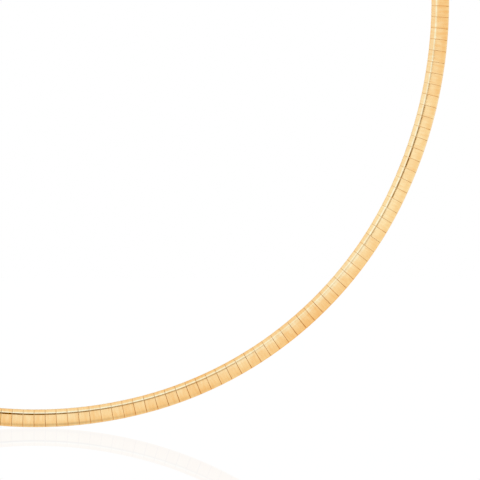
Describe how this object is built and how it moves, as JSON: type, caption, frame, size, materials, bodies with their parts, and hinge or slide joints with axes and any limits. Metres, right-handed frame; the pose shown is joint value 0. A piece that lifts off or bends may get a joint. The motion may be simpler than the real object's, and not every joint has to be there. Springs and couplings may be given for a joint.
{
  "type": "omega necklace",
  "caption": "Omega necklace: a domed band of close-set gold plates folded over a flat woven band, closed into a rigid loop by a box clasp.",
  "frame": {"origin": "top of the loop's inside edge, under the middle of the clasp, where the necklace sits on the back of the neck, in the middle of the band's thickness", "axes": "the loop hangs upright in the XZ plane: -Z from the clasp down to the front centre, +X to the right of a viewer who faces the domed front, +Y through the thickness of the band, from the domed face to the back"},
  "size_m": [0.1388, 0.0018, 0.1415],
  "materials": {
    "plate_gold": "polished pale yellow gold with fine brushed lines",
    "woven_gold": "flattened weave of fine yellow gold wire",
    "clasp_gold": "polished pale yellow gold"
  },
  "bodies": {
    "root": {"plates": "plate_gold", "mesh_band": "woven_gold", "clasp": "clasp_gold"}
  },
  "joints": []
}
